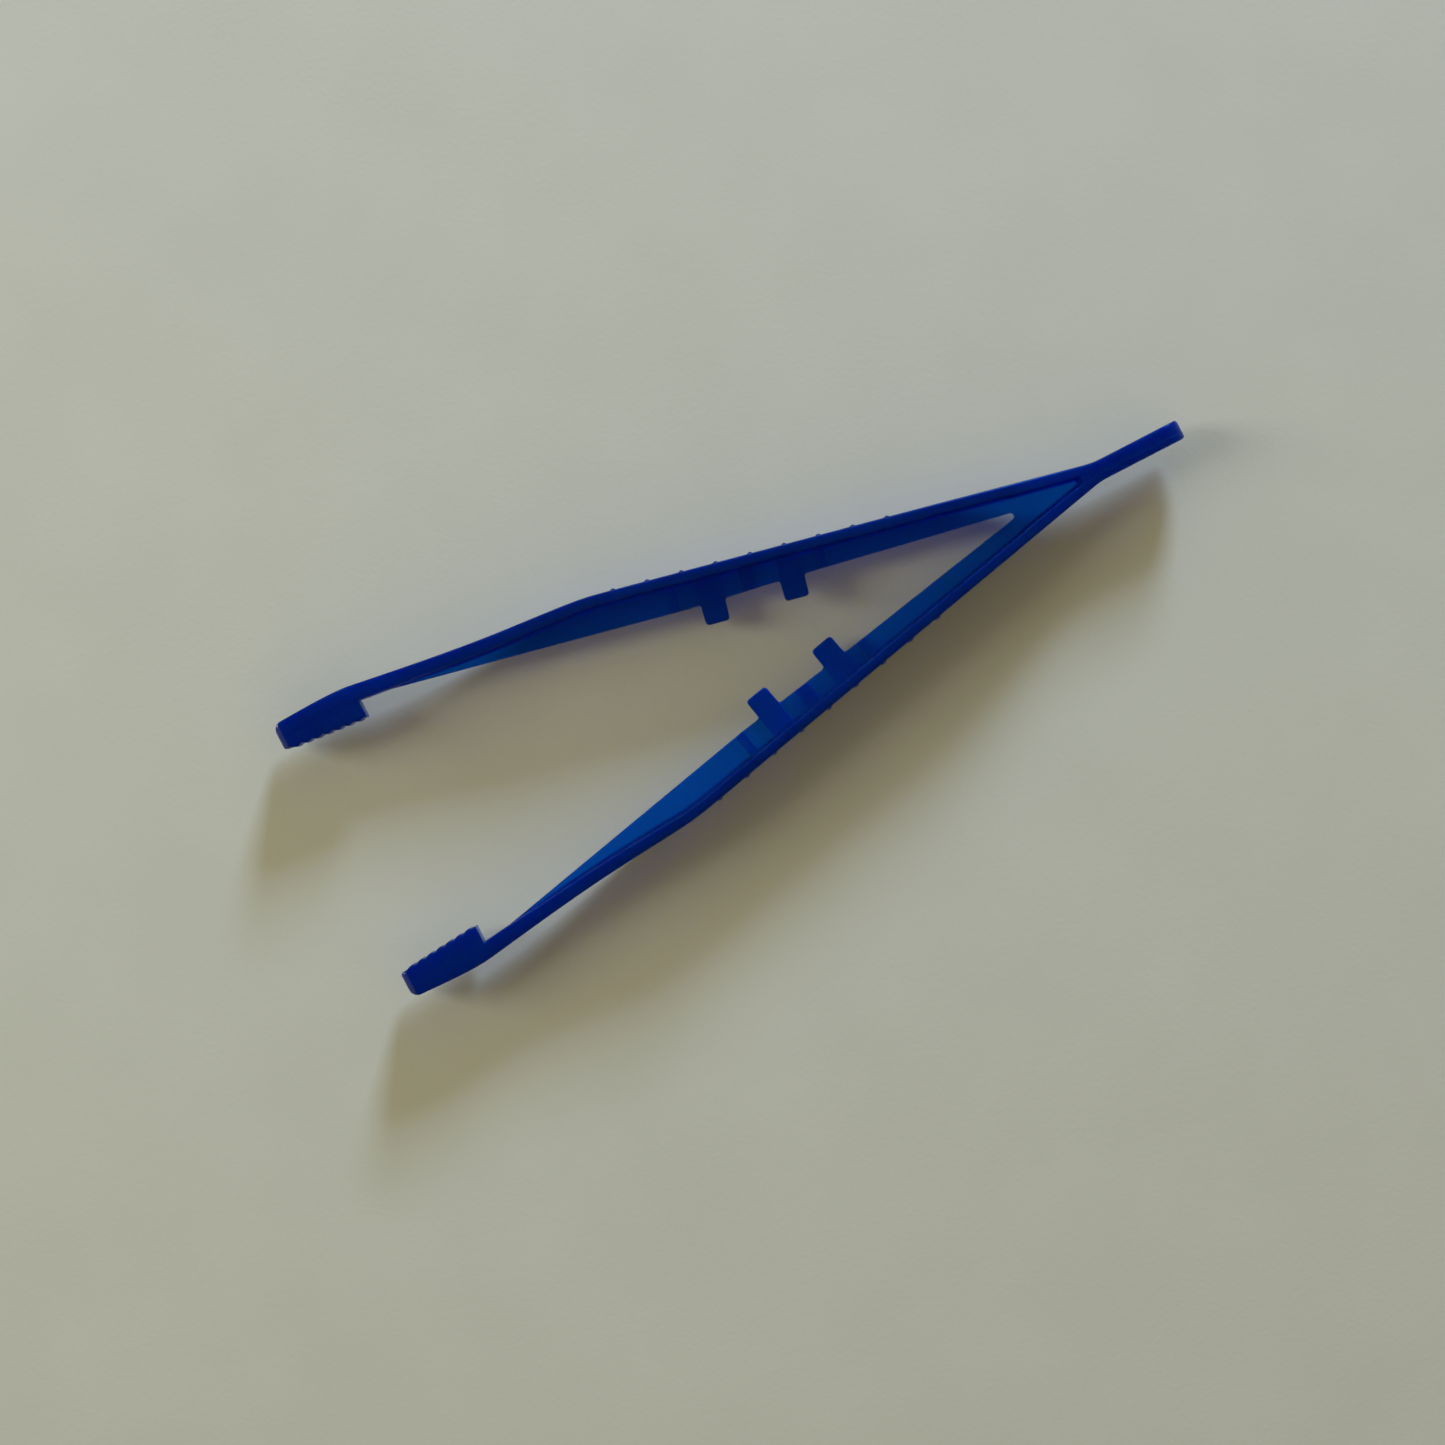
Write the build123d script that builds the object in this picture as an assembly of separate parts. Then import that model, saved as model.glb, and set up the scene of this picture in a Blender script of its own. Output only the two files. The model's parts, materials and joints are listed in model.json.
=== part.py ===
from build123d import *
import os
from math import cos, radians, sin, tan

# Moulded plastic tweezers, lying on one side and open.
# +X runs along the centre line from the tail to the tips, +Y is the left arm's side, +Z is up.
# The origin is on the resting plane, halfway along the length.
# The right arm is the left arm turned half a turn about the long axis at mid height.

# Driving dimensions, in millimetres and degrees
overall_length = 130.0
grip_width = 10.0          # width of the flange where it is held; sets the overall height
jaw_width = 5.4
tail_width = 5.4
notch_width = 7.6          # flange width beside the notch
flange_thickness = 1.43
web_thickness = 1.0
tail_thickness = 2.76
tail_end_radius = 2.3       # rounds the tail's end as seen from either arm's side
tail_corner_radius = 0.35

arm_angle = 12.44          # outer face of each arm against the centre line
flex_x = -39.1             # bottom of the notch between the arms, where the arms bend
notch_radius = 0.48
web_root_slope = 10.9      # inner edge of the web next to the notch
crotch_x = -49.6           # where the two flanges run together
grip_front_x = 17.0        # where the outer face bends and the shank begins
grip_rear_x = -24.0        # the flange is at its full width from here
full_width_front_x = 16.0  # to here
waist_x = 31.0             # and narrows through this place
waist_half_width = 4.05
jaw_width_x = 50.8         # to the jaw's width here
heel_x = 52.8              # square step behind the jaw
tip_x = overall_length / 2
jaw_shoulder_x = 55.4

jaw_outer_y = 21.3
jaw_tip_outer_y = 21.1
jaw_tip_inner_y = 17.35
jaw_heel_inner_y = 16.25
shank_heel_outer_y = 21.08
shank_heel_inner_y = 18.75
shank_outer_points = ((22.4, 17.35), (33.4, 18.38), (44.4, 19.82))
shank_inner_points = ((22.6, 15.78), (33.6, 16.62), (44.6, 17.84))
shank_outer_end_angle = 8.5
shank_inner_end_angle = 8.0
tip_corner_radius = 1.3
tip_edge_radius = 0.8

ridge_count = 7
ridge_pitch = 1.525
ridge_radius = 1.2
ridge_height = 0.22
first_ridge_x = 54.05
ridge_end_gap = 0.3
ridge_end_radius = 0.12

rib_count = 9
rib_pitch = 4.864
front_rib_s = 56.1         # distance from the flex point, measured along the arm
rib_radius = 0.45
rib_height = 0.25
rib_end_gap = 0.9          # how far a rib stops short of each edge of the flange
rib_end_radius = 0.15

# The web steps sideways in three joggles, so that each arm's guide tabs pass the other arm's web
joggle_starts = (26.6, 36.6, 47.9)
joggle_lengths = (1.3, 2.2, 1.3)
joggle_ramp = 0.3          # each face of the web steps over this length, one at each end of a joggle
web_offset = 0.55          # how far each stepped stretch of web sits from mid height
web_edge_points = ((-12.9, 5.5), (-2.7, 7.4), (7.7, 9.28), (49.9, 18.5))

tab_width = 3.4
tab_reach = 3.0            # beyond the inner edge of the web
tab_thickness = 1.8
tab_corner_radius = 0.5
front_tab_s = 43.2
rear_tab_s = 31.8

# Worked-out values
mid_z = grip_width / 2
tail_x = -overall_length / 2
slope = radians(arm_angle)
along = Vector(cos(slope), sin(slope))
across = Vector(-sin(slope), cos(slope))
flex_point = Vector(flex_x, 0)
tail_half = tail_thickness / 2
arm_root_x = -51.9         # where the outer face leaves the tail
outer_d = (Vector(arm_root_x, tail_half) - flex_point).dot(across)
inner_d = outer_d - flange_thickness
spare = 1.0                # how far a shape runs inside its neighbour or past a cut
reach = overall_length     # size of the blocks that cut or bound a shape
slice_thickness = 0.02


def on_arm(s, d):
    """Point at distance s along the left arm from the flex point and d outward from it."""
    return flex_point + along * s + across * d


def outer_y(x):
    """Outer face of the left arm, behind the shank."""
    return tail_half + (x - arm_root_x) * tan(slope)


def s_at(x, d):
    """Distance along the arm of the point at x on the line at offset d."""
    return (x - flex_x + d * sin(slope)) / cos(slope)


def d_at(point):
    """Outward offset of a point from the line through the flex point."""
    return (point - flex_point).dot(across)


def band(start_s, end_s, start_d, end_d):
    """Closed outline between two distances along the left arm and two offsets from it."""
    corners = (start_s, start_d), (end_s, start_d), (end_s, end_d), (start_s, end_d)
    return Polyline(*[on_arm(s, d) for s, d in corners], close=True)


def prism(outline, low_z, high_z):
    """Solid of a closed XY outline between two heights."""
    return extrude(Plane.XY.offset(low_z) * make_face(outline), high_z - low_z)


def width_profile():
    """Block whose height follows the flange's width from tail to tip."""
    upper = [
        (tail_x, tail_width / 2),
        (crotch_x, tail_width / 2),
        (flex_x, notch_width / 2),
        (grip_rear_x, grip_width / 2),
        (full_width_front_x, grip_width / 2),
        (waist_x, waist_half_width),
        (jaw_width_x, jaw_width / 2),
        (tip_x + spare, jaw_width / 2),
    ]
    level = (1, 0)
    top = [
        Line(upper[0], upper[1]),
        Spline(upper[1:4], tangents=[level, level]),
        Line(upper[3], upper[4]),
        Spline(upper[4:7], tangents=[level, level]),
        Line(upper[6], upper[7]),
    ]
    outline = Curve() + top
    outline += mirror(outline, about=Plane.XZ)
    outline += Line(upper[0], (upper[0][0], -upper[0][1]))
    outline += Line(upper[-1], (upper[-1][0], -upper[-1][1]))
    flat = make_face(outline)
    flat = fillet(flat.vertices().sort_by(Axis.X)[0:2], tail_end_radius)
    block = extrude(flat, reach, both=True)
    return Pos(0, 0, mid_z) * Rot(90, 0, 0) * block


profile = width_profile()

# Points that several pieces share
cut_outer = on_arm(0, outer_d)
cut_inner = on_arm(0, inner_d)
bend_outer = on_arm(s_at(grip_front_x, outer_d), outer_d)
bend_inner = on_arm(s_at(grip_front_x, outer_d), inner_d)
notch_end = Vector(
    flex_x + notch_radius * (1 - sin(radians(web_root_slope))),
    notch_radius * cos(radians(web_root_slope)),
)
notch_mid = Vector(
    flex_x + notch_radius * (1 - cos(radians(45 - web_root_slope / 2))),
    notch_radius * sin(radians(45 - web_root_slope / 2)),
)
web_edge = [notch_end] + [Vector(*point) for point in web_edge_points]


def web_edge_d(s):
    """Outward offset of the web's inner edge at distance s along the arm."""
    for start, end in zip(web_edge, web_edge[1:]):
        s0 = (start - flex_point).dot(along)
        s1 = (end - flex_point).dot(along)
        if s <= s1:
            share = (s - s0) / (s1 - s0)
            return d_at(start) * (1 - share) + d_at(end) * share
    raise ValueError("past the end of the web")


def shank_curves():
    """Outer and inner faces of the shank, from the bend to the jaw."""
    outer_end = radians(shank_outer_end_angle)
    inner_end = radians(shank_inner_end_angle)
    outer = Spline(
        [bend_outer, *shank_outer_points, (heel_x, shank_heel_outer_y)],
        tangents=[along, (cos(outer_end), sin(outer_end))],
    )
    inner = Spline(
        [bend_inner, *shank_inner_points, (heel_x, shank_heel_inner_y)],
        tangents=[along, (cos(inner_end), sin(inner_end))],
    )
    return outer, inner


def tail_tab():
    """Flat solid tab that carries both arms, up to where the flanges part."""
    y = outer_y(crotch_x)
    outline = Polyline(
        (tail_x, -tail_half),
        (arm_root_x, -tail_half),
        (crotch_x, -y),
        (crotch_x, y),
        (arm_root_x, tail_half),
        (tail_x, tail_half),
        close=True,
    )
    tab = prism(outline, 0, grip_width)
    end_edges = tab.edges().filter_by(Axis.Z).sort_by(Axis.X)[0:2]
    return fillet(end_edges, tail_corner_radius) & profile


def root_flange():
    """Stub of the left flange between the tail and the flex point."""
    outline = Polyline(
        (crotch_x, outer_y(crotch_x)),
        cut_outer,
        cut_inner,
        (crotch_x, outer_y(crotch_x) - flange_thickness / cos(slope)),
        close=True,
    )
    return prism(outline, 0, grip_width) & profile


def spring_web():
    """Web that ties the two root flanges together behind the notch."""
    y = outer_y(crotch_x) - flange_thickness / cos(slope)
    outline = Polyline(
        (crotch_x, y),
        cut_inner,
        flex_point,
        (cut_inner.X, -cut_inner.Y),
        (crotch_x, -y),
        close=True,
    )
    return prism(outline, mid_z - web_thickness / 2, mid_z + web_thickness / 2)


def grip_flange():
    """Outer strip of the left arm, from the flex point to the bend."""
    outline = Polyline(cut_outer, bend_outer, bend_inner, cut_inner, close=True)
    return prism(outline, 0, grip_width) & profile


def grip_ribs():
    """Low rounded ribs across the outer face of the grip."""
    ribs = []
    drum_d = outer_d + rib_height - rib_radius
    for number in range(rib_count):
        s = front_rib_s - number * rib_pitch
        centre = on_arm(s, drum_d)
        half = rib_half_length(s)
        drum = Pos(centre.X, centre.Y, mid_z) * Cylinder(rib_radius, 2 * half)
        drum = fillet(drum.edges(), rib_end_radius)
        ribs.append(drum - outer_side_cut())
    return Compound(ribs)


def rib_half_length(s):
    """Half the length of the rib at s, a little short of the flange's edges."""
    x = on_arm(s, outer_d).X
    column = Pos(x, 0, mid_z) * Box(slice_thickness, grip_width, 2 * grip_width)
    return (column & profile).bounding_box().size.Z / 2 - rib_end_gap


def outer_side_cut():
    """Block inside the outer face, which trims a rib to the part that stands out."""
    return prism(band(-reach, reach, outer_d - grip_width, outer_d), -reach, reach)


def shank():
    """Strip between the bend and the jaw, thicker towards the jaw."""
    outer, inner = shank_curves()
    outline = Curve() + [
        outer,
        Line(outer @ 1, inner @ 1),
        inner,
        Line(inner @ 0, outer @ 0),
    ]
    return prism(outline, 0, grip_width) & profile


def jaw():
    """Jaw block with its square heel and the ridges across its gripping face."""
    outer, inner = shank_curves()
    shoulder = (jaw_shoulder_x, jaw_outer_y)
    outline = Curve() + [
        TangentArc(outer @ 1, shoulder, tangent=outer % 1),
        Line(shoulder, (tip_x, jaw_tip_outer_y)),
        Line((tip_x, jaw_tip_outer_y), (tip_x, jaw_tip_inner_y)),
        Line((tip_x, jaw_tip_inner_y), (heel_x, jaw_heel_inner_y)),
        Line((heel_x, jaw_heel_inner_y), outer @ 1),
    ]
    low, high = mid_z - jaw_width / 2, mid_z + jaw_width / 2
    block = prism(outline, low, high)
    outer_corner = block.edges().filter_by(Axis.Z).sort_by(Axis.X)[-2:].sort_by(Axis.Y)[-1]
    block = fillet(outer_corner, tip_corner_radius)
    end_face = block.faces().sort_by(Axis.X)[-1]
    block = fillet(end_face.edges().filter_by(Axis.Y), tip_edge_radius)
    grip_slope = (jaw_tip_inner_y - jaw_heel_inner_y) / (tip_x - heel_x)
    for number in range(ridge_count):
        x = first_ridge_x + number * ridge_pitch
        y = jaw_heel_inner_y + (x - heel_x) * grip_slope
        centre_y = y + ridge_radius - ridge_height
        ridge = Pos(x, centre_y, mid_z) * Cylinder(ridge_radius, jaw_width - 2 * ridge_end_gap)
        block += fillet(ridge.edges(), ridge_end_radius)
    return block


def web_outline():
    """Plan of the whole web; its outer side runs inside the flange and shank, which trim it."""
    flange_middle = (inner_d + outer_d) / 2
    shank_middle = (Vector(*shank_outer_points[1]) + Vector(*shank_inner_points[1])) / 2
    return Curve() + [
        ThreePointArc(flex_point, notch_mid, notch_end),
        Polyline(
            *web_edge,
            (web_edge[-1].X, shank_heel_inner_y + spare),
            shank_middle,
            on_arm(s_at(grip_front_x, outer_d), flange_middle),
            on_arm(0, flange_middle),
            flex_point,
        ),
    ]


def between(start_s, end_s):
    """Block across the arm between two distances along it."""
    return prism(band(start_s, end_s, -reach, reach), -reach, reach)


def joggled_plate(offsets):
    """Plate whose faces step along the arm, so that neighbouring stretches overlap along each joggle."""
    first = joggle_starts[0] - joggle_ramp
    last = joggle_starts[-1] + joggle_lengths[-1] + joggle_ramp
    low, high = [(first, offsets[0])], [(first, offsets[0])]
    for start, length, before, after in zip(joggle_starts, joggle_lengths, offsets, offsets[1:]):
        end = start + length
        early = [(start, before), (start + joggle_ramp, after)]
        late = [(end - joggle_ramp, before), (end, after)]
        high += early if after > before else late
        low += late if after > before else early
    low.append((last, offsets[-1]))
    high.append((last, offsets[-1]))
    under = [(s, offset - web_thickness / 2) for s, offset in low]
    over = [(s, offset + web_thickness / 2) for s, offset in high]
    side_view = make_face(Polyline(*under, *reversed(over), close=True))
    plane = Plane(
        origin=(flex_point.X, flex_point.Y, mid_z),
        x_dir=(along.X, along.Y, 0),
        z_dir=(-across.X, -across.Y, 0),
    )
    return extrude(plane * side_view, reach, both=True)


def left_webs(trim):
    """The web in three pieces: rear, guide stretch with the joggles, and front."""
    rear_start = joggle_starts[0]
    front_end = joggle_starts[-1] + joggle_lengths[-1]
    flat = prism(web_outline(), mid_z - web_thickness / 2, mid_z + web_thickness / 2)
    deep = prism(web_outline(), 0, grip_width) & between(rear_start, front_end)
    guide = deep & joggled_plate((0, -web_offset, web_offset, 0))
    rear = flat & between(-reach, rear_start)
    front = flat & between(front_end, reach)
    return [web - trim for web in (rear, guide, front)]


def guide_tab(s, side, web):
    """Tab on the side (+1 upper, -1 lower) of the web, reaching past its inner edge."""
    tip_d = web_edge_d(s) - tab_reach
    outline = band(s - tab_width / 2, s + tab_width / 2, tip_d, inner_d)
    near = mid_z + side * (web_offset - web_thickness / 2)
    far = near + side * tab_thickness
    tab = prism(outline, min(near, far), max(near, far))
    corners = tab.edges().filter_by(Axis.Z).sort_by(lambda e: d_at(e.center()))[0:2]
    return fillet(corners, tab_corner_radius) - web


def left_arm():
    """All the pieces of the left arm by name."""
    strip = grip_flange() + shank()
    rear_web, guide_web, front_web = left_webs(strip)
    return {
        "grip_flange": grip_flange(),
        "grip_ribs": grip_ribs(),
        "shank": shank(),
        "jaw": jaw(),
        "rear_web": rear_web,
        "guide_web": guide_web,
        "front_web": front_web,
        "front_tab": guide_tab(front_tab_s, 1, guide_web),
        "rear_tab": guide_tab(rear_tab_s, -1, guide_web),
    }


def to_right(shape):
    """The same piece on the right arm."""
    return shape.rotate(Axis((0, 0, mid_z), (1, 0, 0)), 180)


pieces = {"tail_tab": tail_tab(), "spring_web": spring_web()}
arm = left_arm()
arm["root_flange"] = root_flange()
for name, shape in arm.items():
    pieces["left_" + name] = shape
    pieces["right_" + name] = to_right(shape)

os.makedirs("parts", exist_ok=True)
for name, shape in pieces.items():
    export_step(shape, f"parts/{name}.step")
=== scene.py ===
import json
from collections import namedtuple
from math import cos, pi, radians, sin, sqrt, tan

import bpy
import numpy as np
from mathutils import Matrix, Vector


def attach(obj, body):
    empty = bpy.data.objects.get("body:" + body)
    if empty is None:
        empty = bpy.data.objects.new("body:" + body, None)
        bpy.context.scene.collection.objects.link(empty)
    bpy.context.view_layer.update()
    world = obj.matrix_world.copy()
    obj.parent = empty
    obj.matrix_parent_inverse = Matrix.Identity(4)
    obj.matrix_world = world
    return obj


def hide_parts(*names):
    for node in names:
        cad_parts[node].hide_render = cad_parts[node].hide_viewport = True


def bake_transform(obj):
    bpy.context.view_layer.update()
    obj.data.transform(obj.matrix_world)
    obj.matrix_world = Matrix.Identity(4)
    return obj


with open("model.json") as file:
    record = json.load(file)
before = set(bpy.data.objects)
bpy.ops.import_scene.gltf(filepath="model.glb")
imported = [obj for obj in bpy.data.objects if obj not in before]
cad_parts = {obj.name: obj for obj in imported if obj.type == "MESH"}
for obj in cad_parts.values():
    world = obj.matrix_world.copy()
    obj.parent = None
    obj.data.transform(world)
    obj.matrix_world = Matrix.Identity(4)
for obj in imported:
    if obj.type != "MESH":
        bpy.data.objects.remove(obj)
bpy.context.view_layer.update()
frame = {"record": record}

MM = 0.001

# ---------------------------------------------------------------- sizes, in millimetres and degrees
# s is the distance from the point where an arm bends, along the arm. RIBS, JOGGLES and TABS use it.
LENGTH = 130.0
TAIL_X = -LENGTH / 2
TIP_X = LENGTH / 2

GRIP_WIDTH = 10.0
JAW_WIDTH = 5.4
TAIL_WIDTH = 5.4
NOTCH_WIDTH = 7.6
WAIST_X, WAIST_HALF_WIDTH = 31.0, 4.05
FULL_WIDTH_REAR_X = -24.0
FULL_WIDTH_FRONT_X = 16.0
JAW_WIDTH_X = 50.8
MID_Z = GRIP_WIDTH / 2

ARM_ANGLE = radians(12.44)
ARM_ROOT_X = -51.9
ARM_ROOT_BLEND = 1.2           # length each side of the arm's root over which the outer face turns
FLEX_X = -39.1
STRAIGHT_END_X = 17.0
STRAIGHT_END_MARGIN = 0.3
FLANGE_THICKNESS = 1.43

CROTCH_X = -49.6
NOTCH_RADIUS = 0.48
WEB_THICKNESS = 1.0
WEB_ROOT_SLOPE = radians(10.9)
WEB_EDGE_POINTS = ((-12.9, 5.5), (-2.7, 7.4), (7.7, 9.28), (49.9, 18.5))
JOGGLES = ((26.6, 27.9), (36.6, 38.8), (47.9, 49.2))
JOGGLE_OFFSETS = (0.0, -0.55, 0.55, 0.0)
JOGGLE_RAMP = 0.3

TABS = ((43.2, 1), (31.8, -1))  # middle of each tab, and the side of the web that it stands on
TAB_WIDTH = 3.4
TAB_REACH = 3.0
TAB_THICKNESS = 1.8
TAB_NEAR_FACE = 0.05
TAB_CORNER_RADIUS = 0.5

RIB_COUNT, LAST_RIB, RIB_SPACING = 9, 56.1, 4.864
RIBS = [LAST_RIB - RIB_SPACING * k for k in range(RIB_COUNT)]
RIB_RADIUS = 0.45
RIB_HEIGHT = 0.25
RIB_HALF = sqrt(RIB_RADIUS ** 2 - (RIB_RADIUS - RIB_HEIGHT) ** 2)
RIB_END_GAP = 0.9
RIB_ENDS = ((-0.15, 0.0), (0.1, 0.75), (0.45, 1.0))  # distance inside the rib's end, share of its height
RIB_MIDDLE = 0.4               # share of the rib's half length where one more row of points lies

HEEL_X = 52.8
HEEL_OUTER_Y = 21.08
HEEL_OUTER_SLOPE = tan(radians(8.5))
HEEL_INNER_SLOPE = tan(radians(8.0))
SHANK_OUTER_POINTS = [(22.4, 17.35), (33.4, 18.38), (44.4, 19.82), (HEEL_X, HEEL_OUTER_Y)]
SHANK_INNER_POINTS = [(22.6, 15.78), (33.6, 16.62), (44.6, 17.84), (HEEL_X, 18.75)]
SHANK_BLEND = 8.0              # length before the heel over which the edges take the jaw's rounding

SHOULDER_X, JAW_OUTER_Y = 55.4, 21.3
JAW_TIP_OUTER_Y = 21.1
JAW_TIP_SLOPE = -0.02
JAW_TIP_INNER_Y = 17.35
JAW_HEEL_INNER_Y = 16.25
JAW_SIDE_DEPTH = 2.3
RIDGE_COUNT, FIRST_RIDGE_X, RIDGE_SPACING = 7, 54.05, 1.525
RIDGES = [FIRST_RIDGE_X + RIDGE_SPACING * k for k in range(RIDGE_COUNT)]
RIDGE_RADIUS = 1.2
RIDGE_HEIGHT = 0.22
TIP_OUTER_RADIUS = 1.3
TIP_INNER_RADIUS = 0.35
TIP_EDGE_RADIUS = 0.8
HEEL_RADIUS = 0.12

TAIL_HALF = 1.38
TAIL_END_RADIUS = 2.3
TAIL_CORNER_RADIUS = 0.5
TAIL_WALL_RISE = 0.5           # length over which the web's face drops below the tail's
TAIL_CORE = 0.35               # share of the solid tail's half thickness where its middle rows lie
THINNEST_WEB_HALF = 0.18

OUTER_EDGE_ROUND = 0.36
INNER_EDGE_ROUND = 0.24
ROOT_FILLET = 0.45
WEB_EDGE_ROUND = 0.22
JAW_EDGE_ROUND = 0.3
STEP = 0.03                    # length over which a moulded step rises
FLUSH = 0.02                   # depth of a step that should not show
SEAM_GAP = 0.003               # between the tail and an arm, where the moulding bends

ARM_SPACING = 0.9              # between sections where the arm changes slowly
ARM_LEAST_GAP = 0.012          # sections closer than this are left out
NOTCH_MARKS = (SEAM_GAP, 0.08, 0.2, 0.32, 0.47)
RIB_MARGIN = 0.1               # from a rib to the sections on both sides of it
SHANK_SECTIONS = 46
JAW_START_X = HEEL_X + 0.02    # just past the shank's last section
JAW_SPACING = 0.155
JAW_LEAST_GAP = 0.008
TAIL_SECTIONS = 24             # along the solid part
CROTCH_MARKS = (0.0, STEP, 0.1, 0.2, 0.35, 0.6, 1.0)
CROTCH_REACH = 1.2             # from the crotch to where its sections are spaced evenly
SPRING_SECTIONS = 14           # from there to the point where the arms bend
ON_SIDE = 0.000001             # a section this close to a tab's side lies on it
ON_POINT = 0.000000001         # an edge point this close past a stretch's end belongs to it
CORRECTIONS = 12

along = np.array((cos(ARM_ANGLE), sin(ARM_ANGLE)))
across = np.array((-sin(ARM_ANGLE), cos(ARM_ANGLE)))
pivot = np.array((FLEX_X, 0.0))
OUTER_D = float((np.array((ARM_ROOT_X, TAIL_HALF)) - pivot) @ across)
INNER_D = OUTER_D - FLANGE_THICKNESS
STRAIGHT_END = (STRAIGHT_END_X - FLEX_X + OUTER_D * sin(ARM_ANGLE)) / cos(ARM_ANGLE)


# ---------------------------------------------------------------- curves
def smooth(t):
    """0 to 1 with level ends."""
    t = min(1.0, max(0.0, t))
    return t * t * (3 - 2 * t)


def quarter(distance, radius):
    """How far a rounded corner of that radius falls back, at a distance from its end."""
    if distance >= radius:
        return 0.0
    return radius - sqrt(max(0.0, radius ** 2 - (radius - distance) ** 2))


def corner_steps(radius, count=4):
    """Distances from a corner that follow its quarter circle evenly."""
    return [radius * (1 - cos(pi / 2 * k / count)) for k in range(1, count + 1)]


def spaced(marks, least):
    """The marks in order, without those that follow another by no more than least."""
    ordered = sorted(marks)
    kept = [ordered[0]]
    for mark in ordered[1:]:
        if mark - kept[-1] > least:
            kept.append(mark)
    return kept


def spline(points, start_slope, end_slope):
    """Function y(x): a smooth cubic through the points with the given end slopes."""
    x = np.array([point[0] for point in points], float)
    y = np.array([point[1] for point in points], float)
    count = len(x)
    gaps = np.diff(x)
    matrix = np.zeros((count, count))
    right = np.zeros(count)
    matrix[0, 0] = matrix[-1, -1] = 1
    right[0], right[-1] = start_slope, end_slope
    for i in range(1, count - 1):
        matrix[i, i - 1] = 1 / gaps[i - 1]
        matrix[i, i] = 2 / gaps[i - 1] + 2 / gaps[i]
        matrix[i, i + 1] = 1 / gaps[i]
        right[i] = 3 * ((y[i] - y[i - 1]) / gaps[i - 1] ** 2 + (y[i + 1] - y[i]) / gaps[i] ** 2)
    slopes = np.linalg.solve(matrix, right)

    def value(at):
        i = int(min(count - 2, max(0, np.searchsorted(x, at) - 1)))
        t = (at - x[i]) / gaps[i]
        return (
            (1 + 2 * t) * (1 - t) ** 2 * y[i]
            + t * (1 - t) ** 2 * gaps[i] * slopes[i]
            + t * t * (3 - 2 * t) * y[i + 1]
            + t * t * (t - 1) * gaps[i] * slopes[i + 1]
        )

    return value


rear_width = spline(
    [(CROTCH_X, TAIL_WIDTH / 2), (FLEX_X, NOTCH_WIDTH / 2), (FULL_WIDTH_REAR_X, GRIP_WIDTH / 2)], 0, 0,
)
front_width = spline(
    [(FULL_WIDTH_FRONT_X, GRIP_WIDTH / 2), (WAIST_X, WAIST_HALF_WIDTH), (JAW_WIDTH_X, JAW_WIDTH / 2)], 0, 0,
)
bend_outer = pivot + along * STRAIGHT_END + across * OUTER_D
bend_inner = pivot + along * STRAIGHT_END + across * INNER_D
shank_outer = spline([tuple(bend_outer), *SHANK_OUTER_POINTS], tan(ARM_ANGLE), HEEL_OUTER_SLOPE)
shank_inner = spline([tuple(bend_inner), *SHANK_INNER_POINTS], tan(ARM_ANGLE), HEEL_INNER_SLOPE)
jaw_outer = spline(
    [(HEEL_X, HEEL_OUTER_Y), (SHOULDER_X, JAW_OUTER_Y), (TIP_X, JAW_TIP_OUTER_Y)],
    HEEL_OUTER_SLOPE, JAW_TIP_SLOPE,
)


def half_width(x):
    """Half the flange's width at x."""
    if x <= CROTCH_X:
        return TAIL_WIDTH / 2
    if x < FULL_WIDTH_REAR_X:
        return rear_width(x)
    if x < FULL_WIDTH_FRONT_X:
        return GRIP_WIDTH / 2
    if x < JAW_WIDTH_X:
        return front_width(x)
    return JAW_WIDTH / 2


notch_centre = pivot + np.array((NOTCH_RADIUS, 0.0))
web_line = [
    np.array((FLEX_X + NOTCH_RADIUS * (1 - sin(WEB_ROOT_SLOPE)), NOTCH_RADIUS * cos(WEB_ROOT_SLOPE))),
    *(np.array(point) for point in WEB_EDGE_POINTS),
]


def ray_to_line(start, direction, a, b):
    """Distance from start along the direction to the line through a and b."""
    line = b - a
    gap = a - start
    return float((gap[0] * line[1] - gap[1] * line[0]) / (direction[0] * line[1] - direction[1] * line[0]))


def web_depth(outer, inward):
    """Distance from the outer face to the web's inner edge."""
    s = float((outer - pivot) @ along)
    if s < float((web_line[0] - pivot) @ along):
        centre_s, centre_d = float((notch_centre - pivot) @ along), float((notch_centre - pivot) @ across)
        return OUTER_D - (centre_d + sqrt(max(0.0, NOTCH_RADIUS ** 2 - (s - centre_s) ** 2)))
    for a, b in zip(web_line, web_line[1:]):
        depth = ray_to_line(outer, inward, a, b)
        if outer[0] + inward[0] * depth <= b[0] + ON_POINT:
            break
    return depth


def flange_depth(outer, inward):
    """Distance from the shank's outer to its inner face, found by repeated correction."""
    depth = FLANGE_THICKNESS
    for _ in range(CORRECTIONS):
        hit = outer + inward * depth
        depth += (hit[1] - shank_inner(hit[0])) / -inward[1]
    return float(depth)


# ---------------------------------------------------------------- sections along the left arm
# outer: point on the outer face. inward: direction to the inner side. flange: the strip's thickness.
# half: half its width. depth: from the outer face to the inner edge. low, high: the web's faces.
# rib: how far a rib stands out. rounds: outer edge, inner edge, root of the web, edge of the web.
Section = namedtuple("Section", "outer inward flange half depth low high rib rounds")


def rib_rise(s):
    """How far the outer face stands out at s, where a rib crosses it."""
    for centre in RIBS:
        gap = abs(s - centre)
        if gap < RIB_RADIUS:
            rise = sqrt(RIB_RADIUS ** 2 - gap ** 2) - (RIB_RADIUS - RIB_HEIGHT)
            if rise > 0:
                return rise
    return 0.0


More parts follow.
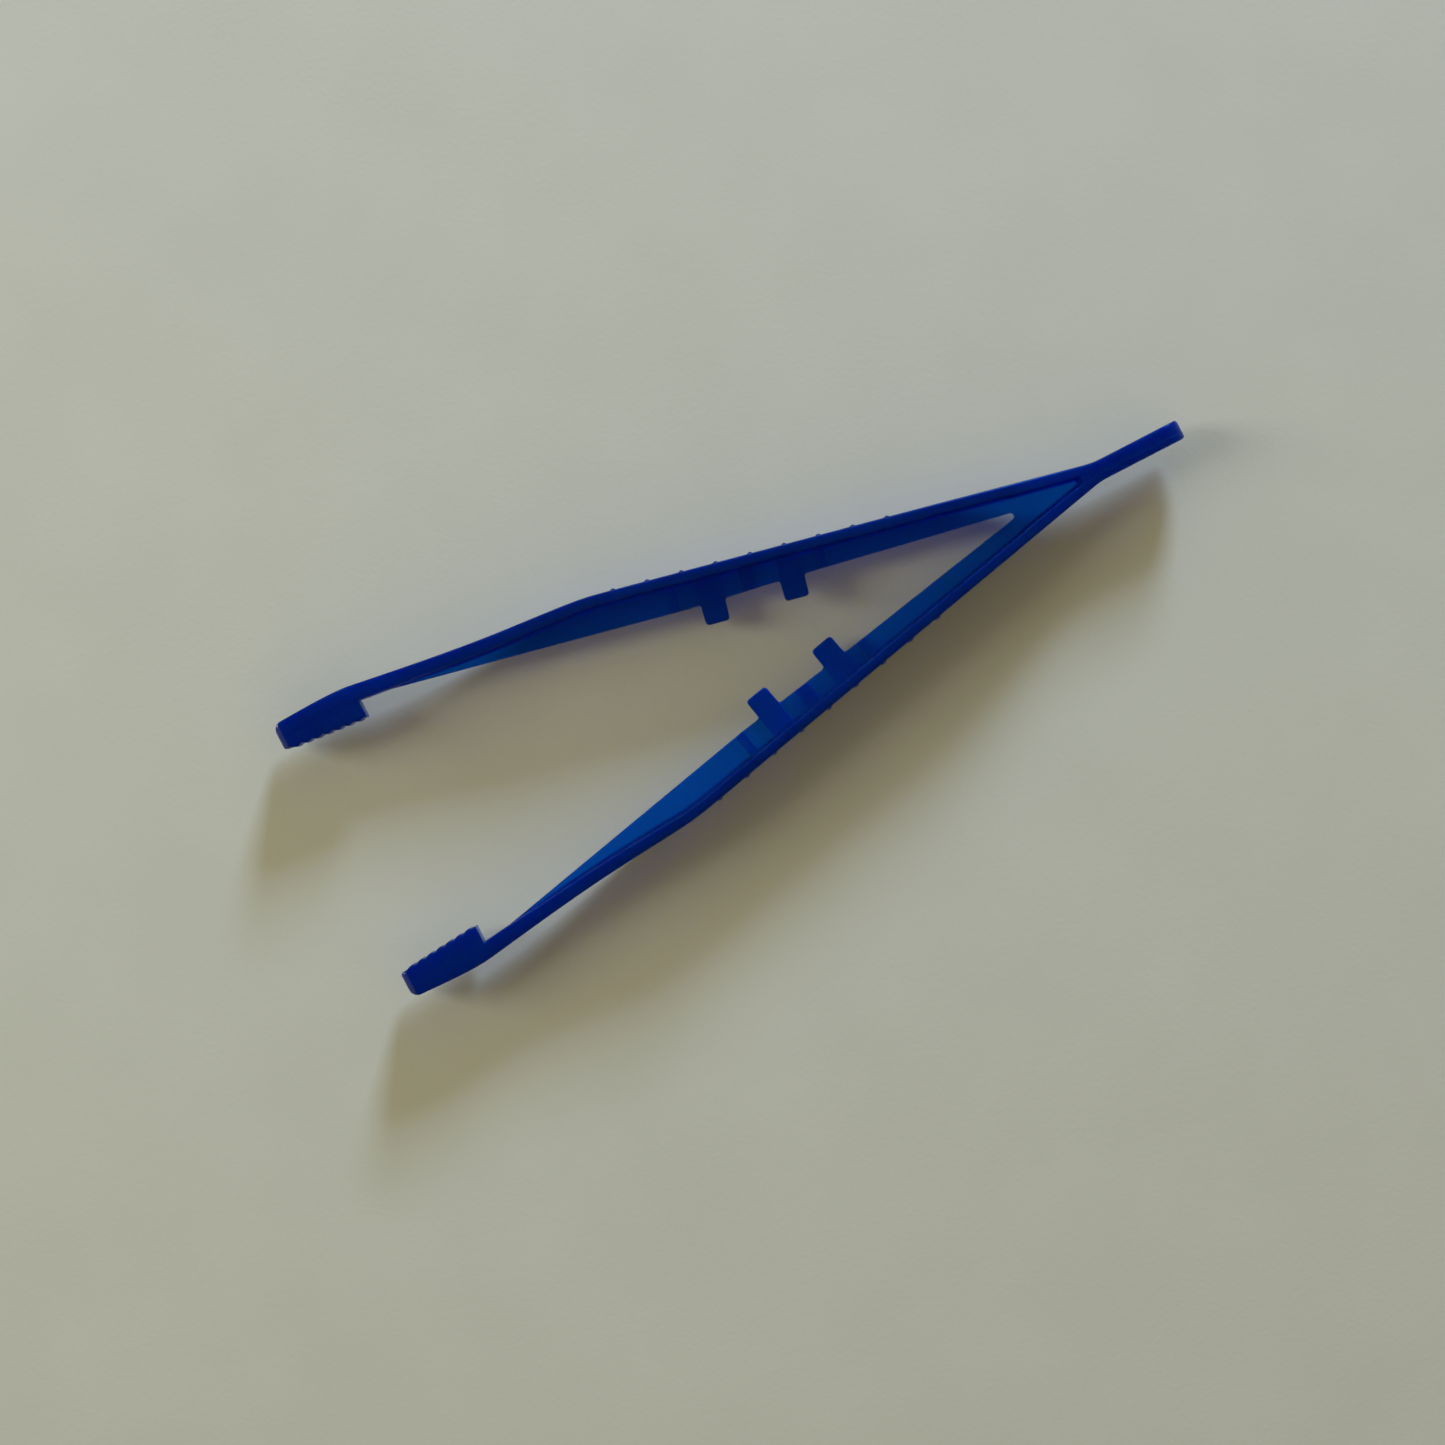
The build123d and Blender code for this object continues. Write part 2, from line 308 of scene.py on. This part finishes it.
def web_faces(s):
    """Lower and upper face of the web at s; neighbouring stretches overlap along a joggle."""
    low = high = 0.0
    before = JOGGLE_OFFSETS[0]
    for (start, end), after in zip(JOGGLES, JOGGLE_OFFSETS[1:]):
        entering = (after - before) * smooth((s - start) / JOGGLE_RAMP)
        leaving = (after - before) * smooth((s - end + JOGGLE_RAMP) / JOGGLE_RAMP)
        high += entering if after > before else leaving
        low += leaving if after > before else entering
        before = after
    return low - WEB_THICKNESS / 2, high + WEB_THICKNESS / 2


def straight_stations():
    """Distances along the straight part of the arm at which a section is made."""
    marks = set(np.arange(0, STRAIGHT_END, ARM_SPACING).round(4))
    marks.discard(0.0)
    marks.update(NOTCH_MARKS)
    for centre in RIBS:
        marks.update(centre + RIB_HALF * sin(pi / 2 * k / 5) for k in range(-5, 6))
        marks.update((centre - RIB_HALF - RIB_MARGIN, centre + RIB_HALF + RIB_MARGIN))
    for start, end in JOGGLES:
        for edge in (start, end - JOGGLE_RAMP):
            marks.update(np.linspace(edge, edge + JOGGLE_RAMP, 6))
    for centre, _ in TABS:
        for side in (-1, 1):
            wall = centre + side * TAB_WIDTH / 2
            marks.update((wall, wall + side * STEP))
            marks.update(wall + side * (STEP + d) for d in corner_steps(ROOT_FILLET))
            marks.update(wall - side * d for d in corner_steps(TAB_CORNER_RADIUS, 5))
    inside = [mark for mark in marks if mark < STRAIGHT_END - STRAIGHT_END_MARGIN]
    return spaced(inside, ARM_LEAST_GAP)


def straight_section(s):
    """Section of the arm at s, where the outer face is straight."""
    outer = pivot + along * s + across * OUTER_D
    inward = -across
    low, high = web_faces(s)
    depth = web_depth(outer, inward)
    for centre, side in TABS:
        beyond = abs(s - centre) - TAB_WIDTH / 2
        if beyond <= ON_SIDE:
            middle = pivot + along * centre + across * OUTER_D
            reach = web_depth(middle, inward) + TAB_REACH
            depth = reach - quarter(-beyond, TAB_CORNER_RADIUS)
            near = side * TAB_NEAR_FACE
            far = near + side * TAB_THICKNESS
            low, high = min(near, far), max(near, far)
        elif beyond < STEP + ROOT_FILLET:
            depth += quarter(beyond - STEP, ROOT_FILLET)
    web_edge_round = WEB_EDGE_ROUND * smooth(s / NOTCH_RADIUS)
    rounds = (OUTER_EDGE_ROUND, INNER_EDGE_ROUND, ROOT_FILLET, web_edge_round)
    half = half_width(float(outer[0]))
    return Section(outer, inward, FLANGE_THICKNESS, half, depth, low, high, rib_rise(s), rounds)


def shank_section(x):
    """Section of the shank whose outer face is at x."""
    share = (x - STRAIGHT_END_X) / (HEEL_X - STRAIGHT_END_X)
    angle = ARM_ANGLE * (1 - smooth(share))
    outer = np.array((x, shank_outer(x)))
    inward = -np.array((-sin(angle), cos(angle)))
    flange = flange_depth(outer, inward)
    depth = max(flange + FLUSH, web_depth(outer, inward))
    blend = smooth((x - HEEL_X + SHANK_BLEND) / SHANK_BLEND)
    outer_round = OUTER_EDGE_ROUND + (JAW_EDGE_ROUND - OUTER_EDGE_ROUND) * blend
    rounds = (outer_round, INNER_EDGE_ROUND, ROOT_FILLET, WEB_EDGE_ROUND)
    low, high = -WEB_THICKNESS / 2, WEB_THICKNESS / 2
    return Section(outer, inward, flange, half_width(x), depth, low, high, 0.0, rounds)


def ridge_rise(x):
    """How far the gripping face stands out at x, where a ridge crosses it."""
    best = 0.0
    for centre in RIDGES:
        gap = abs(x - centre)
        if gap < RIDGE_RADIUS:
            best = max(best, sqrt(RIDGE_RADIUS ** 2 - gap ** 2) - (RIDGE_RADIUS - RIDGE_HEIGHT))
    return best


def jaw_section(x):
    """Section of the jaw block at x."""
    from_tip = TIP_X - x
    outer_y = jaw_outer(x) - quarter(from_tip, TIP_OUTER_RADIUS)
    share = (x - HEEL_X) / (TIP_X - HEEL_X)
    base = JAW_HEEL_INNER_Y + share * (JAW_TIP_INNER_Y - JAW_HEEL_INNER_Y)
    inner_y = base - ridge_rise(x) + quarter(from_tip, TIP_INNER_RADIUS) + quarter(x - HEEL_X, HEEL_RADIUS)
    half = JAW_WIDTH / 2 - quarter(from_tip, TIP_EDGE_RADIUS)
    outer, inward = np.array((x, outer_y)), np.array((0.0, -1.0))
    low, high = -half + FLUSH, half - FLUSH
    rounds = (JAW_EDGE_ROUND, 0.0, 0.0, JAW_EDGE_ROUND)
    return Section(outer, inward, JAW_SIDE_DEPTH, half, outer_y - inner_y, low, high, 0.0, rounds)


def jaw_stations():
    """Places along the jaw at which a section is made, close together over the ridges."""
    marks = set(np.arange(JAW_START_X, TIP_X, JAW_SPACING).round(4))
    marks.update(HEEL_X + STEP + d for d in corner_steps(HEEL_RADIUS, 3))
    marks.update(TIP_X - d for d in corner_steps(TIP_OUTER_RADIUS, 7))
    marks.update(TIP_X - d for d in corner_steps(TIP_EDGE_RADIUS, 6))
    marks.update(TIP_X - d for d in corner_steps(TIP_INNER_RADIUS, 4))
    marks.add(TIP_X)
    kept = spaced(marks, JAW_LEAST_GAP)
    kept[-1] = TIP_X
    return kept


# ---------------------------------------------------------------- cross-sections
ARC = 4                        # segments in each rounded corner
CORNER = ARC + 1               # points in each rounded corner
HOLD = 0.04                    # share of a flat face beside each rounded edge that keeps it flat
THINNEST = 0.001               # shortest cut that a rounded corner makes
EDGE_SHARE = 0.45              # most of an edge that one rounded corner takes
SMALL_SHARE = 0.4


def cut(radius, edge, share=EDGE_SHARE):
    """How much of an edge a rounded corner takes."""
    return max(THINNEST, min(radius, share * edge))


def rounded(corner, before, after, cut_before, cut_after):
    """Points of a rounded corner, from the edge before it to the edge after it."""
    start = corner - before * cut_before
    end = corner + after * cut_after
    steps = [k / ARC for k in range(ARC + 1)]
    return [start * (1 - t) ** 2 + corner * 2 * t * (1 - t) + end * t * t for t in steps]


def outer_face(section):
    """Points across the outer face, raised where a rib crosses it."""
    rib_end = section.half - RIB_END_GAP
    rows = [(inside - rib_end, lift) for inside, lift in RIB_ENDS]
    rows.append((-rib_end * RIB_MIDDLE, 1.0))
    rows += [(0.0, 1.0)] + [(-z, lift) for z, lift in reversed(rows)]
    return [np.array((-section.rib * lift, z)) for z, lift in rows]


def section_loop(section):
    """Closed loop of (depth, height) points round a T-shaped section, with the same count everywhere."""
    outer_round, inner_round, root_round, web_round = section.rounds
    half, flange, depth = section.half, section.flange, section.depth
    low, high = section.low, section.high
    above, below = half - high, low + half
    web = depth - flange
    outer_cut = cut(outer_round, min(flange, half))
    inner_cut = cut(inner_round, flange, SMALL_SHARE)
    root_cut = cut(root_round, web, SMALL_SHARE)
    edge_z = cut(web_round, high - low)
    edge_cut = cut(web_round, web)
    flat = web - root_cut - edge_cut
    hold = (flange + root_cut + HOLD * flat, depth - edge_cut - HOLD * flat)
    inward, up = np.array((1.0, 0.0)), np.array((0.0, 1.0))
    loop = []
    loop += rounded(np.array((0.0, half)), up, inward, outer_cut, outer_cut)
    loop += rounded(np.array((flange, half)), inward, -up, inner_cut, cut(inner_round, above))
    loop += rounded(np.array((flange, high)), -up, inward, cut(root_round, above), root_cut)
    loop += [np.array((place, high)) for place in hold]
    loop += rounded(np.array((depth, high)), inward, -up, edge_cut, edge_z)
    loop += rounded(np.array((depth, low)), -up, -inward, edge_z, edge_cut)
    loop += [np.array((place, low)) for place in reversed(hold)]
    loop += rounded(np.array((flange, low)), -inward, -up, root_cut, cut(root_round, below))
    loop += rounded(np.array((flange, -half)), -up, -inward, cut(inner_round, below), inner_cut)
    loop += rounded(np.array((0.0, -half)), -inward, up, outer_cut, outer_cut)
    return loop + outer_face(section)


def place_loop(section, loop):
    """Loop points as 3D points in millimetres."""
    placed = []
    for depth, z in loop:
        plan = section.outer + section.inward * depth
        placed.append((plan[0], plan[1], MID_Z + z))
    return placed


# ---------------------------------------------------------------- meshes
NORMAL_WEIGHT = 60             # how strongly the larger faces set the shading


def loft(name, loops, first_cap_joins, last_cap_joins, halves=None):
    """Closed mesh through the loops, capped at both ends. A cap that joins another piece lets light through.

    halves are the loop's two places on the centre line, where the last cap folds.
    """
    count = len(loops[0])
    points = [Vector(point) * MM for loop in loops for point in loop]
    faces = []
    for row in range(len(loops) - 1):
        for k in range(count):
            a, b = row * count + k, row * count + (k + 1) % count
            faces.append((a, b, b + count, a + count))
    first = list(range(count))
    last = [(len(loops) - 1) * count + k for k in first]
    joins = []
    if first_cap_joins:
        joins.append(len(faces))
    faces.append(tuple(reversed(first)))
    caps = [last]
    if halves:
        a, b = halves
        caps = [last[a:b + 1], last[b:] + last[:a + 1]]
    for cap in caps:
        if last_cap_joins:
            joins.append(len(faces))
        faces.append(tuple(cap))
    mesh = bpy.data.meshes.new(name)
    mesh.from_pydata(points, [], faces)
    mesh.polygons.foreach_set("use_smooth", [True] * len(mesh.polygons))
    seam = mesh.attributes.new("seam", "FLOAT", "FACE")
    for index in joins:
        seam.data[index].value = 1.0
        ring = set(faces[index])
        for edge in mesh.edges:
            if edge.vertices[0] in ring and edge.vertices[1] in ring:
                edge.use_edge_sharp = True
    obj = bpy.data.objects.new(name, mesh)
    bpy.context.scene.collection.objects.link(obj)
    return obj


def orient_outward(obj):
    """Turns the faces outward."""
    bpy.context.view_layer.objects.active = obj
    obj.select_set(True)
    bpy.ops.object.mode_set(mode="EDIT")
    bpy.ops.mesh.select_all(action="SELECT")
    bpy.ops.mesh.normals_make_consistent(inside=False)
    bpy.ops.object.mode_set(mode="OBJECT")
    obj.select_set(False)


def soften(obj):
    """Shading normals that keep broad faces flat."""
    weighted = obj.modifiers.new("weighted", "WEIGHTED_NORMAL")
    weighted.mode = "FACE_AREA"
    weighted.weight = NORMAL_WEIGHT
    weighted.keep_sharp = True


def arm_mesh(name, turned):
    """One arm from the flex point to its tip; the turned arm is the other after half a turn about X."""
    sections = [straight_section(s) for s in straight_stations()]
    sections += [shank_section(x) for x in np.linspace(STRAIGHT_END_X, HEEL_X, SHANK_SECTIONS)]
    sections += [jaw_section(x) for x in jaw_stations()]
    loops = [place_loop(section, section_loop(section)) for section in sections]
    if turned:
        loops = [[(x, -y, 2 * MID_Z - z) for x, y, z in loop] for loop in loops]
    arm = loft(name, loops, True, False)
    polish = arm.data.attributes.new("polish", "FLOAT", "FACE")
    for face in arm.data.polygons:
        if face.center.x > (TIP_X - TIP_EDGE_RADIUS) * MM:
            polish.data[face.index].value = 1.0
    return arm


# ---------------------------------------------------------------- tail
TAIL_SIDES = (0.75, 0.4)       # shares of the half width where rows lie on the tail's outer faces
TAIL_ROOT_SHARE = 0.8          # most of the web's half breadth that the fillet beside a flange takes
TAIL_HALVES = (3 * CORNER, 9 * CORNER + len(TAIL_SIDES) * 2 + 2)


def outer_face_y(x, lean):
    """Outer face where the leaning station line from x on the centre line meets it."""
    if x <= ARM_ROOT_X - ARM_ROOT_BLEND:
        return TAIL_HALF
    if x < ARM_ROOT_X + ARM_ROOT_BLEND:
        t = (x - ARM_ROOT_X + ARM_ROOT_BLEND) / (2 * ARM_ROOT_BLEND)
        return TAIL_HALF + tan(ARM_ANGLE) * ARM_ROOT_BLEND * t * t
    return (TAIL_HALF + (x - ARM_ROOT_X) * tan(ARM_ANGLE)) / (1 + lean * tan(ARM_ANGLE))


def tail_loop(x, lean):
    """Closed loop of 3D points round the tail at x: a solid tab, then a web between two flanges.

    lean is how far back a point lies for each millimetre from the centre line.
    """
    outer = outer_face_y(x, lean) - quarter(x - TAIL_X, TAIL_CORNER_RADIUS)
    half = half_width(x - lean * outer) - quarter(x - TAIL_X, TAIL_END_RADIUS)
    if x <= CROTCH_X + STEP:
        inner = outer * TAIL_CORE
        top = half - FLUSH
    else:
        inner = max(THINNEST_WEB_HALF, outer - FLANGE_THICKNESS / cos(ARM_ANGLE))
        wall = smooth((x - CROTCH_X - STEP) / TAIL_WALL_RISE)
        top = (half - FLUSH) * (1 - wall) + WEB_THICKNESS / 2 * wall
    flange, above = outer - inner, half - top
    outer_cut = min(OUTER_EDGE_ROUND, EDGE_SHARE * half, SMALL_SHARE * outer)
    inner_cut = cut(INNER_EDGE_ROUND, flange, SMALL_SHARE)
    root_cut = cut(ROOT_FILLET, inner, TAIL_ROOT_SHARE)
    up, inward = np.array((0.0, 1.0)), np.array((-1.0, 0.0))
    quadrant = rounded(np.array((outer, half)), up, inward, outer_cut, outer_cut)
    quadrant += rounded(np.array((inner, half)), inward, -up, inner_cut, cut(INNER_EDGE_ROUND, above))
    quadrant += rounded(np.array((inner, top)), -up, inward, cut(ROOT_FILLET, above), root_cut)
    upper = quadrant + [np.array((0.0, top))]
    upper += [point * np.array((-1.0, 1.0)) for point in reversed(quadrant)]
    lower = [point * np.array((1.0, -1.0)) for point in reversed(upper)]
    side = [-half * share for share in TAIL_SIDES] + [0.0] + [half * share for share in reversed(TAIL_SIDES)]
    loop = upper + [np.array((-outer, z)) for z in reversed(side)]
    loop += lower + [np.array((outer, z)) for z in side]
    return [(x - abs(y) * lean, y, MID_Z + z) for y, z in loop]


def tail_mesh(name):
    """The tail from its end to the flex point, where its sections lean back to meet both arms squarely."""
    marks = set(np.linspace(TAIL_X, CROTCH_X, TAIL_SECTIONS))
    marks.update(TAIL_X + d for d in corner_steps(TAIL_END_RADIUS, 9))
    marks.update(TAIL_X + d for d in corner_steps(TAIL_CORNER_RADIUS, 5))
    marks.update(ARM_ROOT_X + share * ARM_ROOT_BLEND for share in np.linspace(-1, 1, 7))
    marks.update(CROTCH_X + d for d in CROTCH_MARKS)
    marks.update(np.linspace(CROTCH_X + CROTCH_REACH, FLEX_X, SPRING_SECTIONS))
    loops = []
    for x in sorted(marks):
        share = max(0.0, (x - CROTCH_X) / (FLEX_X - CROTCH_X))
        loops.append(tail_loop(x, tan(ARM_ANGLE) * share))
    return loft(name, loops, False, True, TAIL_HALVES)


# ---------------------------------------------------------------- materials
MIX_SHARE, MIX_FIRST, MIX_SECOND, MIX_COLOUR = 0, 6, 7, 2  # a colour mix node's inputs, and its output
NOISE_MIDDLE = (0.3, 0.7)      # the part of the noise's range that is spread out

HAZE = 0.2                     # share of the plastic's surface that scatters
HAZE_COLOURS = ((0.0015, 0.045, 0.5, 1), (0.002, 0.065, 0.6, 1))
HAZE_DEPTHS = (0.1, 0.4, 1.0)  # how far red, green and blue light spreads, times HAZE_SPREAD
HAZE_SPREAD = 4 * MM
ABSORPTION = (6.0, 1.7, 0.3)   # per millimetre, in red, green and blue
PLASTIC_IOR = 1.46
PLASTIC_ROUGHNESS = (0.3, 0.42)
GRAIN, FLOW, SHEEN = (900, 4), (120, 3), (260, 5)  # scale and detail of the plastic's noise
GRAIN_RELIEF, FLOW_RELIEF = (0.12, 0.02 * MM), (0.15, 0.08 * MM)  # strength and depth
GLOSS_TINT = (0.02, 0.35, 1.0, 1)
TIP_SHINE = 0.08               # share of white gloss on the rounded edge of each tip
TIP_ROUGHNESS = 0.15

PAPER_COLOURS = ((0.63, 0.635, 0.565, 1), (0.655, 0.66, 0.59, 1))
PAPER_ROUGHNESS = 0.95
PAPER_GLOSS = 0.2
MOTTLE, TOOTH = (55, 6), (1400, 5)
TOOTH_RELIEF = (0.3, 0.03 * MM)


def new_material(name):
    """Material with its nodes, its links and the object's own coordinates."""
    material = bpy.data.materials.new(name)
    material.use_nodes = True
    nodes, links = material.node_tree.nodes, material.node_tree.links
    return material, nodes, links, nodes.new("ShaderNodeTexCoord").outputs["Object"]


def noise(nodes, links, coordinates, scale, detail, low=0.0, high=1.0):
    """Noise mapped to the range low to high."""
    texture = nodes.new("ShaderNodeTexNoise")
    texture.inputs["Scale"].default_value = scale
    texture.inputs["Detail"].default_value = detail
    links.new(coordinates, texture.inputs["Vector"])
    spread = nodes.new("ShaderNodeMapRange")
    spread.inputs["From Min"].default_value, spread.inputs["From Max"].default_value = NOISE_MIDDLE
    spread.inputs["To Min"].default_value = low
    spread.inputs["To Max"].default_value = high
    links.new(texture.outputs["Fac"], spread.inputs["Value"])
    return spread.outputs["Result"]


def bump(nodes, links, height, strength, distance, under=None):
    """Normal of a relief that lies on the relief under it."""
    relief = nodes.new("ShaderNodeBump")
    relief.inputs["Strength"].default_value = strength
    relief.inputs["Distance"].default_value = distance
    links.new(height, relief.inputs["Height"])
    if under:
        links.new(under, relief.inputs["Normal"])
    return relief.outputs["Normal"]


def mixed_colour(nodes, links, share, colours):
    """Colour between two, by the share."""
    mix = nodes.new("ShaderNodeMix")
    mix.data_type = "RGBA"
    mix.inputs[MIX_FIRST].default_value, mix.inputs[MIX_SECOND].default_value = colours
    links.new(share, mix.inputs[MIX_SHARE])
    return mix.outputs[MIX_COLOUR]


def mixed_shader(nodes, links, first, second):
    """Mix Shader node of two shaders; its share is set by the caller."""
    mix = nodes.new("ShaderNodeMixShader")
    links.new(first, mix.inputs[1])
    links.new(second, mix.inputs[2])
    return mix


def face_mark(nodes, name):
    """Value of a mark on the mesh's faces."""
    attribute = nodes.new("ShaderNodeAttribute")
    attribute.attribute_name = name
    return attribute.outputs["Fac"]


def blue_plastic():
    """Hazy, deep blue plastic: clear absorbing plastic mixed with light scattered just under its skin."""
    material, nodes, links, coordinates = new_material("translucent_blue_plastic")
    output = nodes["Material Output"]
    grain = noise(nodes, links, coordinates, *GRAIN)
    flow = noise(nodes, links, coordinates, *FLOW)
    roughness = noise(nodes, links, coordinates, *SHEEN, *PLASTIC_ROUGHNESS)
    fine = bump(nodes, links, grain, *GRAIN_RELIEF)
    normal = bump(nodes, links, flow, *FLOW_RELIEF, fine)

    clear, haze = nodes["Principled BSDF"], nodes.new("ShaderNodeBsdfPrincipled")
    for shader in (clear, haze):
        shader.inputs["IOR"].default_value = PLASTIC_IOR
        shader.inputs["Specular Tint"].default_value = GLOSS_TINT
        links.new(roughness, shader.inputs["Roughness"])
        links.new(normal, shader.inputs["Normal"])
    clear.inputs["Base Color"].default_value = (1, 1, 1, 1)
    clear.inputs["Transmission Weight"].default_value = 1.0
    links.new(mixed_colour(nodes, links, flow, HAZE_COLOURS), haze.inputs["Base Color"])
    haze.inputs["Subsurface Weight"].default_value = 1.0
    haze.inputs["Subsurface Radius"].default_value = HAZE_DEPTHS
    haze.inputs["Subsurface Scale"].default_value = HAZE_SPREAD
    body = mixed_shader(nodes, links, clear.outputs[0], haze.outputs[0])
    body.inputs[0].default_value = HAZE

    shine = nodes.new("ShaderNodeBsdfGlossy")
    shine.inputs["Roughness"].default_value = TIP_ROUGHNESS
    share = nodes.new("ShaderNodeMath")
    share.operation = "MULTIPLY"
    share.inputs[1].default_value = TIP_SHINE
    links.new(face_mark(nodes, "polish"), share.inputs[0])
    polished = mixed_shader(nodes, links, body.outputs[0], shine.outputs[0])
    links.new(share.outputs[0], polished.inputs[0])

    gone = nodes.new("ShaderNodeBsdfTransparent")
    surface = mixed_shader(nodes, links, polished.outputs[0], gone.outputs[0])
    links.new(face_mark(nodes, "seam"), surface.inputs[0])
    links.new(surface.outputs[0], output.inputs["Surface"])

    volume = nodes.new("ShaderNodeVolumeAbsorption")
    strongest = max(ABSORPTION)
    volume.inputs["Color"].default_value = (*(1 - a / strongest for a in ABSORPTION), 1)
    volume.inputs["Density"].default_value = strongest / MM
    links.new(volume.outputs["Volume"], output.inputs["Volume"])
    return material


def paper():
    """Pale, slightly warm paper with a fine tooth."""
    material, nodes, links, coordinates = new_material("paper")
    shader = nodes["Principled BSDF"]
    mottle = noise(nodes, links, coordinates, *MOTTLE)
    links.new(mixed_colour(nodes, links, mottle, PAPER_COLOURS), shader.inputs["Base Color"])
    tooth = noise(nodes, links, coordinates, *TOOTH)
    links.new(bump(nodes, links, tooth, *TOOTH_RELIEF), shader.inputs["Normal"])
    shader.inputs["Roughness"].default_value = PAPER_ROUGHNESS
    shader.inputs["Specular IOR Level"].default_value = PAPER_GLOSS
    return material


# ---------------------------------------------------------------- pieces
plastic = blue_plastic()
tail = tail_mesh("tail_moulding")
left = arm_mesh("left_arm_moulding", False)
right = arm_mesh("right_arm_moulding", True)
for piece in (tail, left, right):
    orient_outward(piece)
    soften(piece)
    piece.data.materials.append(plastic)

bodies = frame["record"]["behaviour"]["bodies"]
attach(tail, "tail")
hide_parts(*bodies["tail"])
for piece, body, side in ((left, "left_arm", 1), (right, "right_arm", -1)):
    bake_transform(piece)
    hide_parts(*bodies[body])

# ---------------------------------------------------------------- floor and camera
FLOOR_SIZE = 3                 # metres
bpy.ops.mesh.primitive_plane_add(size=FLOOR_SIZE)
floor = bpy.context.object
floor.name = "floor"
floor.data.materials.append(paper())

IMAGE_TURN = radians(27.35)
VIEW_WIDTH = 198.9
VIEW_DISTANCE = 600.0
VIEW_CENTRE = (9.755, 6.966, 7.0)
SENSOR_WIDTH = 36
CLIP_START = 0.01              # metres
right_way = Vector((-cos(IMAGE_TURN), sin(IMAGE_TURN), 0))
up_way = Vector((-sin(IMAGE_TURN), -cos(IMAGE_TURN), 0))
overhead = Vector((0, 0, 1))
target = Vector(VIEW_CENTRE) * MM
camera_data = bpy.data.cameras.new("camera")
camera = bpy.data.objects.new("camera", camera_data)
bpy.context.scene.collection.objects.link(camera)
camera_data.sensor_width = SENSOR_WIDTH
camera_data.lens = SENSOR_WIDTH * VIEW_DISTANCE / VIEW_WIDTH
camera_data.clip_start = CLIP_START
camera.rotation_mode = "QUATERNION"
camera.rotation_quaternion = Matrix((right_way, up_way, overhead)).transposed().to_quaternion()
camera.location = target + overhead * VIEW_DISTANCE * MM
bpy.context.scene.camera = camera


# ---------------------------------------------------------------- light
ROOM_COLOURS = ((0.7, 0.67, 0.52, 1), (0.5, 0.38, 0.077, 1))  # at the horizon and overhead
ROOM_STRENGTH = 0.454


def room_light():
    """Dim light from all round, warmer overhead."""
    world = bpy.data.worlds.new("world")
    bpy.context.scene.world = world
    world.use_nodes = True
    nodes, links = world.node_tree.nodes, world.node_tree.links
    direction = nodes.new("ShaderNodeSeparateXYZ")
    links.new(nodes.new("ShaderNodeTexCoord").outputs["Generated"], direction.inputs[0])
    colour = mixed_colour(nodes, links, direction.outputs["Z"], ROOM_COLOURS)
    links.new(colour, nodes["Background"].inputs["Color"])
    nodes["Background"].inputs["Strength"].default_value = ROOM_STRENGTH


def lamp(name, aside, ahead, height, size, colour, power):
    """Soft area light aimed at the middle of the view, placed in millimetres from there.

    aside is towards the picture's right, ahead towards its top, height towards the camera.
    """
    data = bpy.data.lights.new(name, "AREA")
    light = bpy.data.objects.new(name, data)
    bpy.context.scene.collection.objects.link(light)
    data.shape = "RECTANGLE"
    data.size, data.size_y = (side * MM for side in size)
    data.color = colour
    data.energy = power
    offset = (right_way * aside + up_way * ahead + overhead * height) * MM
    light.location = target + offset
    light.rotation_mode = "QUATERNION"
    light.rotation_quaternion = (-offset).to_track_quat("-Z", "Y")


room_light()
lamp("window", 189, 1074, 365, (230, 230), (0.573, 0.714, 1.0), 14.3)
lamp("side_window", -863, 75, 500, (300, 700), (0.978, 1.0, 0.875), 3.94)
bpy.context.scene.view_settings.view_transform = "Standard"
